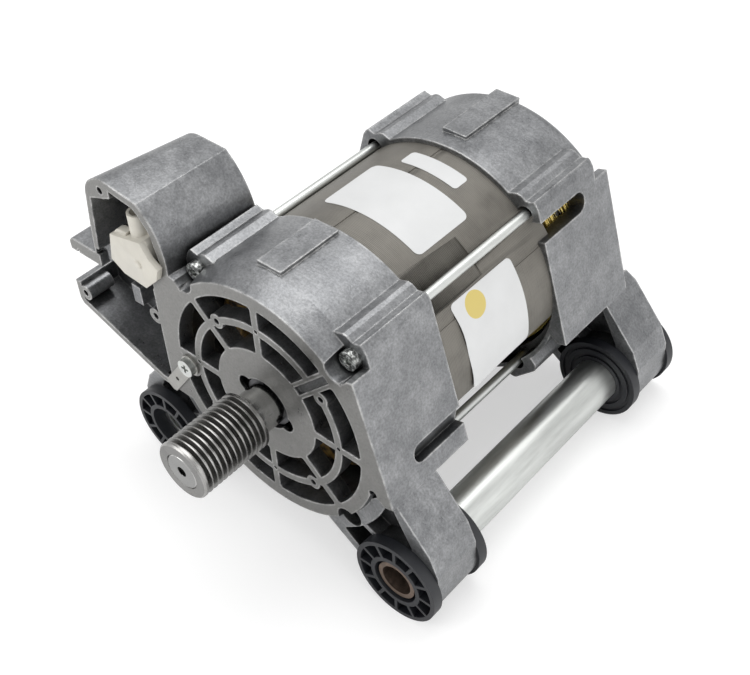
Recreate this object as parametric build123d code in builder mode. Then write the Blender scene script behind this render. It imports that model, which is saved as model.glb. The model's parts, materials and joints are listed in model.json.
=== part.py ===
from build123d import *
import math
import os

os.makedirs("parts", exist_ok=True)

# Three-phase washing machine motor, sizes in mm
# Origin: centre of the shaft's drive end. +Y along the shaft to the rear, +X right, +Z up

# Lengths along the shaft
shaft_reach = 41.0          # shaft end to the front face of the front shield
front_depth = 42.5          # front shield, face to rim
bare_stack = 62.5           # laminations that show between the shields
rear_depth = 44.0           # rear shield, rim to back
register_depth = 6.5        # stack held in each shield

face_y = shaft_reach
front_rim_y = face_y + front_depth
rear_rim_y = front_rim_y + bare_stack
back_y = rear_rim_y + rear_depth
stack_front_y = front_rim_y - register_depth
stack_back_y = rear_rim_y + register_depth
stack_length = stack_back_y - stack_front_y

# Fits and overruns
press_gap = 0.02            # radial gap of a press fit
running_gap = 0.06          # radial gap of a running fit
slip_gap = 0.15             # radial gap of parts that slide together in assembly
overrun = 1.0               # how far a cut runs past a face


def across(y):
    # plane square to the shaft, X to the right and Z up
    return Plane.XZ.offset(-y)


def polar(radius, degrees, centre=(0, 0)):
    turn = math.radians(degrees)
    return (centre[0] + radius * math.cos(turn), centre[1] + radius * math.sin(turn))


def ring_profile(inner, outer, start, end):
    # rectangle in the radius and shaft plane, ready to be revolved about Y
    Polygon((inner, start), (outer, start), (outer, end), (inner, end))


def finish(piece, name):
    piece.part.label = name
    export_step(piece.part, "parts/" + name + ".step")


# Bearings, 17 x 40 x 12
bearing_bore_r = 8.5
bearing_outer_r = 20.0
bearing_width = 12.0
race_wall = 2.9
ball_r = 3.37
ball_count = 8
groove_gap = 0.05           # ball to groove
cage_wall = 1.8
cage_width = 8.4
cage_gap = 0.2              # ball to cage pocket
shield_wall = 0.5           # dust shield sheet
shield_inset = 0.5
ball_pitch_r = (bearing_bore_r + bearing_outer_r) / 2

# Front shield casting
shell_r = 53.4
shell_wall = 4.9
register_wall = 1.9         # shield left round the stack
nose_drop = 2.8             # edge of the front face inside the drum's surface
nose_depth = 11.0           # cone from the face to the full drum
rim_land = 5.4              # face left between the windows and its edge
face_wall = 7.0
hub_r = 24.0
hub_mouth_r = 10.8
hub_lobe_r = 3.8
hub_lobe_reach = 10.0
hub_lobe_angle = -25.0
hub_plate = 1.6             # thin lip round the shaft
hub_relief_r = 13.5         # room for the circlip behind the lip
hub_lip = 3.2
housing_wall = 3.6
housing_tail = 1.6          # housing past the bearing
ring_share = 0.519          # place of the ring between the hub and the drum
ring_wall = 3.2
spoke_width = 3.0
wide_spoke_width = 6.6
wide_spoke_angle = 45.0
spoke_channel = 3.2
spoke_channel_depth = 1.6
spoke_count = 8
window_corner_r = 1.3
ring_boss_r = 3.1
ring_boss_hole_r = 1.25
ring_boss_angle = 35.5
ring_boss_count = 4
ring_boss_depth = 6.0
node_mark_r = 0.8           # small marks where the spokes cross the ring
node_mark_depth = 0.8
shell_inner_r = shell_r - shell_wall
stack_r = shell_r - register_wall
nose_r = shell_r - nose_drop
window_r = nose_r - rim_land
ring_mid_r = hub_r + ring_share * (window_r - hub_r)
ring_outer_r = ring_mid_r + ring_wall / 2
ring_inner_r = ring_mid_r - ring_wall / 2
bearing_front_y = face_y + hub_lip
bearing_back_y = bearing_front_y + bearing_width
housing_r = bearing_outer_r + housing_wall
housing_end_y = bearing_back_y + housing_tail

# Flat side plates of both shields
plate_drop = 0.9            # the plates cut this much off the drum
plate_tilt = 16.2           # degrees from upright
plate_up = 23.5             # along the plate, up from the nearest point to the axis
plate_down = 31.0
plate_wall = 4.0
plate_reach = shell_r - plate_drop

# Tie rods and their bosses
rod_side_share = 0.6854     # places of the rods as shares of the drum's radius
rod_top_share = 0.721
rod_low_share = 0.693
rod_r = 2.0
rod_hole_gap = 0.3
boss_width = 17.0
boss_height = 13.0
boss_corner_r = 3.0
boss_setback = 9.0          # face to the boss's front end
boss_tail = 8.0             # boss's rear end to the back of the rear shield
boss_scale = 10.0           # length that the upper boss's shares are taken of
boss_shares = [
    (-0.81, 0.65), (-0.42, 0.78), (-0.25, 0.75), (0.00, 0.60), (0.22, 0.65), (0.33, 0.70), (0.44, 0.61),
]
boss_up = 29.0              # upper boss's ends along the side plate
boss_low = 18.0
scoop_r = 4.8               # tool clearance in front of the rod head
rod_head_r = 3.7
rod_head_depth = 3.0
rod_socket_r = 1.7
rod_socket_depth = 1.8
rod_mouth_r = 3.5           # opening round the rod in the rear boss
rod_mouth_depth = 7.0
rod_bite = 22.0             # rod inside the rear boss
rod_hole_r = rod_r + rod_hole_gap
rod_seat_y = face_y + boss_setback
rod_end_y = rear_rim_y + rod_bite

# Lugs, eyes and bushes
eye_outset = 7.3            # eye centre outside the drum's side
eye_lift = 1.7              # eye centre above the drum's lowest line
eye_r = 17.0
eye_bore_r = 13.8
eye_length = 21.9
bush_flange_r = 18.3
bush_flange = 4.6
bush_hub_r = 11.4
bush_bore_r = 9.55
bush_pocket_count = 12
bush_pocket_outer_r = 16.5
bush_web = 1.3
bush_pocket_depth = 3.6
bush_ring = 1.4             # ring grooves in the flanges that face the tube
bush_ring_depth = 0.8
front_eye_y = 42.9
rear_eye_y = 175.2
arm_edge_shares = [(0.753, 1.141), (0.965, 0.629), (1.0, 0.0)]
arm_pocket_angle = 45.0
arm_low_angle = 235.0
arm_drum_angle = -62.0
arm_rim = 3.6
arm_rib = 2.2               # rib across the arm's pockets
arm_rib_angle = 24.0
arm_rib_share = 0.52        # place of the rib between the drum and the eye
arm_pocket_depth = 7.0
arm_pocket_fillet = 1.5

# Steel tubes
spacer_r = bush_bore_r - running_gap
spacer_bore_r = 8.5
spacer_recess = 5.6         # tube end below the bush face
pivot_r = spacer_bore_r - slip_gap
pivot_bore_r = 6.5
pivot_recess = 0.9
left_tube_bore_r = 7.2

# Pads and slots on the drum
pad_left = 8.4
pad_right = 2.8
pad_rise = 1.3
pad_setback = 12.0
pad_tail = 1.5
front_slot_width = 7.5
front_slot_length = 26.5
front_slot_centre = -19.4   # along the plate from its nearest point to the axis
rear_slot_width = 8.4
rear_slot_length = 27.5
rear_slot_centre = 19.7

eye_x = shell_r + eye_outset
eye_drop = shell_r - eye_lift
front_bush_y = front_eye_y - bush_flange
rear_bush_end_y = rear_eye_y + eye_length + bush_flange


def plate_point(side, out, up):
    # a point in the side plate's own frame: out from the axis, up along the plate
    tilt = math.radians(plate_tilt)
    x = out * math.cos(tilt) - up * math.sin(tilt)
    z = out * math.sin(tilt) + up * math.cos(tilt)
    return (side * x, z)


def side_plates(inner):
    for side in (1, -1):
        Polygon(
            plate_point(side, plate_reach, plate_up),
            plate_point(side, plate_reach, -plate_down),
            plate_point(side, plate_reach - plate_wall, -plate_down),
            plate_point(side, inner, 0),
            plate_point(side, plate_reach - plate_wall, plate_up),
        )


def flatten_sides():
    # the drum is cut flat where the side plates touch it
    for side in (1, -1):
        Polygon(
            plate_point(side, plate_reach, plate_up),
            plate_point(side, plate_reach, -plate_up),
            plate_point(side, shell_r + overrun, -plate_up),
            plate_point(side, shell_r + overrun, plate_up),
        )


def upper_rods():
    return [(side * rod_side_share * shell_r, rod_top_share * shell_r) for side in (1, -1)]


def lower_rods():
    return [(side * rod_side_share * shell_r, -rod_low_share * shell_r) for side in (1, -1)]


def rod_places():
    return upper_rods() + lower_rods()


def rod_bosses():
    # ridged blocks between the drum and the side plates above, plain ones below
    for x, z in upper_rods():
        side = math.copysign(1, x)
        ridge = [(x + side * across_share * boss_scale, z + up_share * boss_scale)
                 for across_share, up_share in boss_shares]
        Polygon(*ridge, plate_point(side, plate_reach, boss_up), plate_point(side, plate_reach, boss_low),
                plate_point(side, shell_inner_r - plate_wall, boss_low),
                polar(shell_inner_r, 90 - side * math.degrees(math.atan2(abs(ridge[0][0]), ridge[0][1]))))
    for x, z in lower_rods():
        with Locations(Location((x, z), math.degrees(math.atan2(z, x)))):
            RectangleRounded(boss_height, boss_width, boss_corner_r)


def eye_centre(side):
    return (side * eye_x, -eye_drop)


def eye_point(side, radius, degrees):
    x, z = polar(radius, degrees, (eye_x, -eye_drop))
    return (side * x, z)


def arm_outline(side, rim):
    # the arm from the drum to the eye, drawn smaller by the rim for its pockets
    inset = eye_r - rim
    edge = [(side * (eye_x + x * inset), z * inset - eye_drop) for x, z in arm_edge_shares]
    if rim:
        edge = [eye_point(side, inset, arm_pocket_angle)]
    low = eye_point(side, inset, arm_low_angle)
    shoulder = plate_point(side, plate_reach - rim, -plate_down + rim)
    neck = plate_point(side, plate_reach - rim - plate_wall, -plate_down + plate_wall)
    drum = polar(shell_r - rim, arm_drum_angle)
    root = polar(shell_inner_r, arm_drum_angle)
    Polygon(shoulder, *edge, eye_centre(side), low, (side * drum[0], drum[1] + rim),
            (side * root[0], root[1] + rim), neck)


def arm_strut(side):
    # rib that splits the arm's pocket, from the drum toward the eye
    middle = polar(shell_r + arm_rib_share * (math.hypot(eye_x, eye_drop) - eye_r - shell_r),
                   -math.degrees(math.atan2(eye_drop, eye_x)))
    with Locations(Location((side * middle[0], middle[1]), -side * arm_rib_angle)):
        Rectangle(2 * eye_r, arm_rib, mode=Mode.SUBTRACT)


def add_lugs(start):
    for side in (1, -1):
        with BuildSketch(across(start)) as lug:
            arm_outline(side, 0)
            with Locations(eye_centre(side)):
                Circle(eye_r)
        extrude(lug.sketch, amount=-eye_length)


def cut_lugs(start, clear_r):
    for side in (1, -1):
        with BuildSketch(across(start - overrun)) as bore:
            with Locations(eye_centre(side)):
                Circle(eye_bore_r)
        extrude(bore.sketch, amount=-(eye_length + 2 * overrun), mode=Mode.SUBTRACT)
        for pocket_start in (start, start + eye_length - arm_pocket_depth):
            with BuildSketch(across(pocket_start)) as pocket:
                arm_outline(side, arm_rim)
                Circle(clear_r, mode=Mode.SUBTRACT)
                with Locations(eye_centre(side)):
                    Circle(eye_r, mode=Mode.SUBTRACT)
                fillet(pocket.vertices(), arm_pocket_fillet)
                arm_strut(side)
            extrude(pocket.sketch, amount=-arm_pocket_depth, mode=Mode.SUBTRACT)


def top_pad(start, end):
    with BuildSketch(across(start)) as pad:
        Polygon((-pad_left, shell_inner_r), (pad_right, shell_inner_r), (pad_right, shell_r + pad_rise),
                (-pad_left, shell_r + pad_rise))
    extrude(pad.sketch, amount=-(end - start))


def side_slot(centre, width, open_y, closed_y):
    # slot in the right side plate with a round closed end
    way = 1 if closed_y > open_y else -1
    tilt = math.radians(plate_tilt)
    plane = Plane(
        origin=(plate_reach * math.cos(tilt), 0, plate_reach * math.sin(tilt)),
        x_dir=(0, 1, 0),
        z_dir=(math.cos(tilt), 0, math.sin(tilt)),
    )
    round_y = closed_y - way * width / 2
    with BuildSketch(plane.offset(overrun)) as slot:
        Polygon((round_y, centre + width / 2), (open_y - way * overrun, centre + width / 2),
                (open_y - way * overrun, centre - width / 2), (round_y, centre - width / 2))
        with Locations((round_y, centre)):
            Circle(width / 2)
    extrude(slot.sketch, amount=-(plate_reach + 2 * overrun - shell_inner_r + shell_wall), mode=Mode.SUBTRACT)

def box_points(shares):
    return [(x * box_scale, z * box_scale) for x, z in shares]


def hood_outline(shares, round_places):
    points = box_points(shares)
    place = 0
    with BuildLine() as outline:
        while place < len(points):
            step = 2 if place + 1 in round_places else 1
            end = points[(place + step) % len(points)]
            if step == 2:
                ThreePointArc(points[place], points[place + 1], end)
            else:
                Line(points[place], end)
            place += step
    make_face(outline.edges())


def outer_corners(corners):
    # window corners at the hub and the drum, away from the ring and its small bosses
    reach = ring_boss_r + ring_mid_r - ring_inner_r
    far = [corner for corner in corners if abs(math.hypot(corner.X, corner.Y) - ring_mid_r) > reach]
    return [corner for corner in far if math.hypot(corner.X - earth_x, corner.Y - earth_z) > 2 * earth_boss_r]


# Front shield
corner_hole_inset = 8.1     # from the side plate's face and from its lower end
corner_hole_rise = 4.6
corner_hole_r = 1.7
corner_hole_depth = 9.0
left_face_shares = [        # flat left edge of the face, beside the terminal box
    (-0.873, 0.609), (-0.983, 0.609), (-0.983, -0.112), (-0.852, -0.431), (-0.449, -0.431), (-0.449, 0.609),
]
left_edge_depth = 20.0
earth_angle = 187.0
earth_boss_r = 5.4
earth_screw_r = 2.0
earth_thread_r = 1.6
earth_hole_depth = 6.5
earth_x, earth_z = polar((ring_outer_r + window_r) / 2, earth_angle)

# Terminal box cast on the left side, open to the front where its cover is missing
box_share = 1.8727          # length that the shares of the box are taken of, as a share of the drum
box_wall = 2.8
hood_depth = 43.0
tray_depth = 21.0
hood_front_shares = [
    (-0.877, 0.206), (-0.862, 0.379), (-0.840, 0.545), (-0.797, 0.634), (-0.700, 0.660),
    (-0.545, 0.638), (-0.464, 0.535), (-0.437, 0.391), (-0.437, 0.300), (-0.520, 0.206),
]
hood_rear_shares = [
    (-0.817, 0.206), (-0.817, 0.379), (-0.800, 0.530), (-0.758, 0.612), (-0.680, 0.643),
    (-0.536, 0.640), (-0.453, 0.535), (-0.411, 0.404), (-0.411, 0.300), (-0.520, 0.206),
]
hood_round_places = (3, 6)      # points of the hood's outline in the middle of an arc
hood_inner_front_shares = [
    (-0.835, 0.255), (-0.849, 0.272), (-0.836, 0.379), (-0.815, 0.549), (-0.695, 0.594), (-0.693, 0.628),
    (-0.571, 0.610), (-0.545, 0.590), (-0.498, 0.530), (-0.466, 0.395), (-0.540, 0.320), (-0.540, 0.255),
]
hood_inner_rear_shares = [
    (-0.778, 0.255), (-0.790, 0.272), (-0.789, 0.379), (-0.770, 0.520), (-0.695, 0.560), (-0.693, 0.606),
    (-0.560, 0.610), (-0.540, 0.590), (-0.530, 0.530), (-0.530, 0.400), (-0.545, 0.320), (-0.545, 0.255),
]
tray_shares = [
    (-1.069, 0.027), (-1.069, -0.066), (-1.054, -0.092), (-0.605, -0.257), (-0.440, -0.257),
    (-0.440, 0.240), (-0.980, 0.240), (-1.010, 0.100), (-1.045, 0.045),
]
tray_inner_shares = [
    (-1.100, 0.027), (-1.041, 0.027), (-1.041, -0.058), (-1.030, -0.071), (-0.600, -0.229),
    (-0.546, -0.229), (-0.546, 0.206), (-1.100, 0.206),
]
mouth_shares = [            # opening from the tray up into the hood, across and back from the face
    (-0.546, -0.010), (-0.865, -0.010), (-0.865, 0.025), (-0.835, 0.055), (-0.795, 0.110), (-0.790, 0.182),
    (-0.546, 0.182),
]
mouth_top_share = 0.290
ledge_shares = [(-1.034, 0.246), (-1.020, 0.262), (-0.850, 0.262), (-0.850, 0.206), (-1.034, 0.206)]
ledge_depth = 9.5
ledge_notch_r = 1.5
ledge_notch_shares = [(-0.983, 0.206), (-0.905, 0.206)]
cover_boss_shares = [(-0.743, 0.609), (-1.021, -0.021), (-0.566, 0.108)]
cover_boss_r = 3.4
cover_boss_depth = 12.0
cover_hole_r = 1.45
cover_hole_depth = 10.0
post_shares = [(-0.765, 0.060)]
post_width = 5.0
post_height = 9.0
post_length = 13.0
connector_base_share = 0.276    # underside of the connector, on its cast shelf
shelf_left_share = -0.68
shelf_right_share = -0.58
shelf_low_share = 0.2
shelf_depth = 14.0
box_scale = box_share * shell_r

with BuildPart() as front_end_shield:
    # the slot ends on the drum, so it is cut before the drum is added
    with BuildSketch(across(face_y)):
        side_plates(hub_r)
    extrude(amount=-front_depth)
    side_slot(front_slot_centre, front_slot_width, front_rim_y, front_rim_y - front_slot_length)
    with BuildSketch(Plane.XY):
        with BuildLine():
            Polyline((0, face_y), (nose_r, face_y), (shell_r, face_y + nose_depth), (shell_r, front_rim_y),
                     (0, front_rim_y), close=True)
        make_face()
    revolve(axis=Axis.Y)
    with BuildSketch(across(face_y - overrun)):
        flatten_sides()
    extrude(amount=-(front_depth + 2 * overrun), mode=Mode.SUBTRACT)
    with BuildSketch(across(face_y + boss_setback)):
        rod_bosses()
    extrude(amount=-(front_depth - boss_setback))
    top_pad(face_y + pad_setback, front_rim_y - pad_tail)
    add_lugs(front_eye_y)
    with BuildSketch(across(face_y)):
        Polygon(*[(x * shell_r, z * shell_r) for x, z in left_face_shares])
    extrude(amount=-left_edge_depth)
    # terminal box: a tapering hood over a shallow tray
    for shares, rear_shares, rounds, start, length, mode in (
        (hood_front_shares, hood_rear_shares, hood_round_places, face_y, hood_depth, Mode.ADD),
        (hood_inner_front_shares, hood_inner_rear_shares, (), face_y - overrun,
         hood_depth - box_wall + overrun, Mode.SUBTRACT),
    ):
        with BuildSketch(across(start)):
            hood_outline(shares, rounds)
        with BuildSketch(across(start + length)):
            hood_outline(rear_shares, rounds)
        loft(ruled=True, mode=mode)
    with BuildSketch(across(face_y)):
        Polygon(*box_points(tray_shares))
    extrude(amount=-tray_depth)
    with BuildSketch(across(face_y - overrun)):
        Polygon(*box_points(tray_inner_shares))
    extrude(amount=-(tray_depth - box_wall + overrun), mode=Mode.SUBTRACT)
    with BuildSketch(Plane.XY):
        Polygon(*[(x * box_scale, face_y + y * box_scale) for x, y in mouth_shares])
    extrude(amount=mouth_top_share * box_scale, mode=Mode.SUBTRACT)
    with BuildSketch(across(face_y)):
        Polygon(*box_points(ledge_shares))
        with Locations(box_points(ledge_notch_shares)):
            Circle(ledge_notch_r, mode=Mode.SUBTRACT)
    extrude(amount=-ledge_depth)
    with BuildSketch(across(face_y)):
        with Locations(box_points(cover_boss_shares)):
            Circle(cover_boss_r)
    extrude(amount=-cover_boss_depth)
    with BuildSketch(across(face_y + tray_depth - overrun)):
        with Locations(box_points(post_shares)):
            Rectangle(post_width, post_height)
    extrude(amount=post_length)
    with BuildSketch(across(face_y + tray_depth - shelf_depth)):
        Polygon(*box_points([(shelf_left_share, shelf_low_share), (shelf_right_share, shelf_low_share),
                             (shelf_right_share, connector_base_share),
                             (shelf_left_share, connector_base_share)]))
    extrude(amount=-shelf_depth)
    with BuildSketch(across(face_y - overrun)):
        with Locations(box_points(cover_boss_shares)):
            Circle(cover_hole_r)
    extrude(amount=-(cover_hole_depth + overrun), mode=Mode.SUBTRACT)
    # inside of the drum, with the seat of the stack
    with BuildSketch(Plane.XY):
        ring_profile(0, shell_inner_r, face_y + face_wall, front_rim_y)
        ring_profile(0, stack_r + press_gap, stack_front_y, front_rim_y + overrun)
    revolve(axis=Axis.Y, mode=Mode.SUBTRACT)
    # bearing housing behind the hub
    with BuildSketch(Plane.XY):
        ring_profile(0, housing_r, face_y + face_wall - overrun, housing_end_y)
    revolve(axis=Axis.Y)
    with BuildSketch(Plane.XY):
        ring_profile(0, hub_mouth_r, face_y - overrun, housing_end_y)
        ring_profile(0, hub_relief_r, face_y + hub_plate, housing_end_y)
        ring_profile(0, bearing_outer_r + press_gap, bearing_front_y, housing_end_y + overrun)
    revolve(axis=Axis.Y, mode=Mode.SUBTRACT)
    with BuildSketch(across(face_y - overrun)):
        with PolarLocations(hub_lobe_reach, 2, start_angle=hub_lobe_angle):
            Circle(hub_lobe_r)
    extrude(amount=-(hub_plate + 2 * overrun), mode=Mode.SUBTRACT)
    # two rings of windows between the spokes
    with BuildSketch(across(face_y - overrun)) as windows:
        Circle(window_r)
        Circle(ring_outer_r, mode=Mode.SUBTRACT)
        Circle(ring_inner_r)
        Circle(hub_r, mode=Mode.SUBTRACT)
        with PolarLocations((hub_r + window_r) / 2, spoke_count):
            Rectangle(window_r, spoke_width, mode=Mode.SUBTRACT)
        with PolarLocations((hub_r + window_r) / 2, 1, start_angle=wide_spoke_angle):
            Rectangle(window_r, wide_spoke_width, mode=Mode.SUBTRACT)
        with PolarLocations(ring_mid_r, ring_boss_count, start_angle=ring_boss_angle):
            Circle(ring_boss_r, mode=Mode.SUBTRACT)
        with Locations((earth_x, earth_z)):
            Circle(earth_boss_r, mode=Mode.SUBTRACT)
        fillet(outer_corners(windows.vertices()), window_corner_r)
    extrude(amount=-(face_wall + 2 * overrun), mode=Mode.SUBTRACT)
    with BuildSketch(across(face_y - overrun)):
        with PolarLocations(ring_mid_r, ring_boss_count, start_angle=ring_boss_angle):
            Circle(ring_boss_hole_r)
    extrude(amount=-(ring_boss_depth + overrun), mode=Mode.SUBTRACT)
    with BuildSketch(across(face_y - overrun)):
        with PolarLocations(ring_mid_r, ring_boss_count):
            Circle(node_mark_r)
    extrude(amount=-(node_mark_depth + overrun), mode=Mode.SUBTRACT)
    # channel along the wide spoke
    with BuildSketch(across(face_y - overrun)):
        with PolarLocations((hub_r + window_r) / 2, 1, start_angle=wide_spoke_angle):
            Rectangle(window_r - hub_r, spoke_channel)
    extrude(amount=-(spoke_channel_depth + overrun), mode=Mode.SUBTRACT)
    # rod holes and the scoops in front of their heads
    with BuildSketch(across(face_y - overrun)):
        with Locations(rod_places()):
            Circle(scoop_r)
    extrude(amount=-(boss_setback + overrun), mode=Mode.SUBTRACT)
    with BuildSketch(across(face_y)):
        with Locations(rod_places()):
            Circle(rod_hole_r)
    extrude(amount=-(front_depth + overrun), mode=Mode.SUBTRACT)
    with BuildSketch(across(face_y - overrun)):
        with Locations(plate_point(1, plate_reach - corner_hole_inset, corner_hole_rise - plate_down)):
            Circle(corner_hole_r)
    extrude(amount=-(corner_hole_depth + overrun), mode=Mode.SUBTRACT)
    with BuildSketch(across(face_y - overrun)):
        with Locations((earth_x, earth_z)):
            Circle(earth_thread_r)
    extrude(amount=-(earth_hole_depth + overrun), mode=Mode.SUBTRACT)
    cut_lugs(front_eye_y, shell_r + arm_rim)
finish(front_end_shield, "front_end_shield")

# Rear shield
back_edge_r = 5.0
back_wall = 5.0
back_rim = 9.9              # back left outside the vents
back_window_inner_r = 25.5
back_cap_wall = 3.0
back_bearing_gap = 1.2      # room for the spring washer
rear_pad_setback = 8.0
back_window_r = shell_r - back_rim
bearing_end_y = back_y - back_cap_wall - back_bearing_gap
bearing_start_y = bearing_end_y - bearing_width
rear_housing_y = bearing_start_y - housing_tail

with BuildPart() as rear_end_shield:
    with BuildSketch(Plane.XY):
        with BuildLine():
            Polyline((0, rear_rim_y), (shell_r, rear_rim_y), (shell_r, back_y - back_edge_r))
            RadiusArc((shell_r, back_y - back_edge_r), (shell_r - back_edge_r, back_y), -back_edge_r)
            Polyline((shell_r - back_edge_r, back_y), (0, back_y), (0, rear_rim_y))
        make_face()
    revolve(axis=Axis.Y)
    with BuildSketch(across(rear_rim_y - overrun)):
        flatten_sides()
    extrude(amount=-(rear_depth + 2 * overrun), mode=Mode.SUBTRACT)
    with BuildSketch(across(rear_rim_y)):
        side_plates(hub_r)
    extrude(amount=-rear_depth)
    with BuildSketch(across(rear_rim_y)):
        rod_bosses()
    extrude(amount=-(rear_depth - boss_tail))
    top_pad(rear_rim_y + rear_pad_setback, back_y - pad_tail)
    add_lugs(rear_eye_y)
    with BuildSketch(Plane.XY):
        ring_profile(0, shell_inner_r, rear_rim_y, back_y - back_wall)
        ring_profile(0, stack_r + press_gap, rear_rim_y - overrun, stack_back_y)
    revolve(axis=Axis.Y, mode=Mode.SUBTRACT)
    with BuildSketch(Plane.XY):
        ring_profile(0, housing_r, rear_housing_y, back_y)
    revolve(axis=Axis.Y)
    with BuildSketch(Plane.XY):
        ring_profile(0, bearing_outer_r + press_gap, rear_housing_y - overrun, back_y - back_cap_wall)
    revolve(axis=Axis.Y, mode=Mode.SUBTRACT)
    with BuildSketch(across(back_y - back_wall - overrun)) as vents:
        Circle(back_window_r)
        Circle(back_window_inner_r, mode=Mode.SUBTRACT)
        with PolarLocations((back_window_r + back_window_inner_r) / 2, spoke_count):
            Rectangle(back_window_r, wide_spoke_width, mode=Mode.SUBTRACT)
        fillet(vents.vertices(), window_corner_r)
    extrude(amount=-(back_wall + 2 * overrun), mode=Mode.SUBTRACT)
    with BuildSketch(across(rear_rim_y - overrun)):
        with Locations(rod_places()):
            Circle(rod_mouth_r)
    extrude(amount=-(rod_mouth_depth + overrun), mode=Mode.SUBTRACT)
    with BuildSketch(across(rear_rim_y)):
        with Locations(rod_places()):
            Circle(rod_r + press_gap)
    extrude(amount=-(rod_bite + overrun), mode=Mode.SUBTRACT)
    side_slot(rear_slot_centre, rear_slot_width, rear_rim_y, rear_rim_y + rear_slot_length)
    cut_lugs(rear_eye_y, shell_r + arm_rim)
finish(rear_end_shield, "rear_end_shield")

# Stator stack with its slots, weld grooves, rod grooves and the flat under the right rod
bore_share = 0.5437         # stator bore and slot bottoms as shares of the stack's radius
slot_end_share = 0.8058
slot_count = 24
slot_mouth = 2.2
slot_mouth_depth = 1.0
slot_inner_share = 0.51     # slot widths as shares of the slot pitch
slot_outer_share = 0.68
stator_bore_r = bore_share * stack_r
slot_outer_r = slot_end_share * stack_r
slot_shoulder_r = stator_bore_r + 2 * slot_mouth_depth
slot_inner_width = slot_inner_share * 2 * math.pi * slot_shoulder_r / slot_count
slot_outer_width = slot_outer_share * 2 * math.pi * slot_outer_r / slot_count
weld_count = 6
weld_angle = 92.5
weld_width = 1.4
weld_depth = 0.3
rod_groove_gap = 0.6        # groove in the stack round each tie rod
notch_depth = 1.1
notch_length = 38.0
notch_width = 16.5
notch_angle = 48.0

with BuildPart() as stator_core:
    with BuildSketch(across(stack_front_y)):
        Circle(stack_r)
        Circle(stator_bore_r, mode=Mode.SUBTRACT)
        with PolarLocations(0, slot_count):
            Polygon(
                (stator_bore_r - overrun, -slot_mouth / 2),
                (stator_bore_r + slot_mouth_depth, -slot_mouth / 2),
                (slot_shoulder_r, -slot_inner_width / 2),
                (slot_outer_r, -slot_outer_width / 2),
                (slot_outer_r, slot_outer_width / 2),
                (slot_shoulder_r, slot_inner_width / 2),
                (stator_bore_r + slot_mouth_depth, slot_mouth / 2),
                (stator_bore_r - overrun, slot_mouth / 2),
                mode=Mode.SUBTRACT,
            )
    extrude(amount=-stack_length)
    with BuildSketch(across(stack_front_y - overrun)):
        with PolarLocations(stack_r, weld_count, start_angle=weld_angle):
            Rectangle(2 * weld_depth, weld_width)
        with Locations(rod_places()):
            Circle(rod_r + rod_groove_gap)
    extrude(amount=-(stack_length + 2 * overrun), mode=Mode.SUBTRACT)
    with BuildSketch(across(stack_front_y - overrun)):
        with PolarLocations(stack_r, 2, start_angle=notch_angle, angular_range=360):
            Rectangle(2 * notch_depth, notch_width)
    extrude(amount=-(notch_length + overrun), mode=Mode.SUBTRACT)
finish(stator_core, "stator_core")

# Winding: bars in the slots and a bulging overhang at each end
slot_liner = 0.35           # insulation between the copper and the slot wall
overhang_inner_share = 0.602
overhang_outer_share = 0.845
overhang_length = 16.0
overhang_gap = 1.0          # first bend clear of the stack
overhang_round = 4.5
overhang_inner_r = overhang_inner_share * stack_r
overhang_outer_r = overhang_outer_share * stack_r

with BuildPart() as stator_winding:
    with BuildSketch(across(stack_front_y - overhang_gap - overrun)):
        with PolarLocations(0, slot_count):
            Polygon(
                (slot_shoulder_r + slot_liner, -slot_inner_width / 2 + slot_liner),
                (slot_outer_r - slot_liner, -slot_outer_width / 2 + slot_liner),
                (slot_outer_r - slot_liner, slot_outer_width / 2 - slot_liner),
                (slot_shoulder_r + slot_liner, slot_inner_width / 2 - slot_liner),
            )
    extrude(amount=-(stack_length + 2 * overhang_gap + 2 * overrun))
    for start in (stack_front_y - overhang_gap - overhang_length, stack_back_y + overhang_gap):
        with BuildSketch(Plane.XY) as bulge:
            ring_profile(overhang_inner_r, overhang_outer_r, start, start + overhang_length)
            fillet(bulge.vertices(), overhang_round)
        revolve(axis=Axis.Y)
finish(stator_winding, "stator_winding")

# Rotor: laminated core, cast cage with fan blades, and the shaft
air_gap = 0.4
rotor_bore_r = 11.0
bar_count = 28
bar_inner_share = 0.67      # inner ends of the bars and of the end rings as shares of the rotor's radius
end_ring_share = 0.58
bar_inner_width_share = 0.38    # bar widths as shares of the bar pitch
bar_outer_width_share = 0.53
bar_cover = 0.9             # iron left over each bar
end_ring_width = 8.0
blade_count = 10
blade_width = 1.8
blade_length = 5.0
rotor_r = stator_bore_r - air_gap
bar_inner_r = bar_inner_share * rotor_r
bar_outer_r = rotor_r - bar_cover
bar_inner_width = bar_inner_width_share * 2 * math.pi * bar_inner_r / bar_count
bar_outer_width = bar_outer_width_share * 2 * math.pi * bar_outer_r / bar_count
end_ring_inner_r = end_ring_share * rotor_r


def bar_shape(grow):
    with PolarLocations(0, bar_count):
        Polygon(
            (bar_inner_r - grow, -bar_inner_width / 2 - grow),
            (bar_outer_r + grow, -bar_outer_width / 2 - grow),
            (bar_outer_r + grow, bar_outer_width / 2 + grow),
            (bar_inner_r - grow, bar_inner_width / 2 + grow),
        )


with BuildPart() as rotor_core:
    with BuildSketch(across(stack_front_y)):
        Circle(rotor_r)
        Circle(rotor_bore_r, mode=Mode.SUBTRACT)
    extrude(amount=-stack_length)
    with BuildSketch(across(stack_front_y - overrun)):
        bar_shape(press_gap)
    extrude(amount=-(stack_length + 2 * overrun), mode=Mode.SUBTRACT)
finish(rotor_core, "rotor_core")

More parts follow.
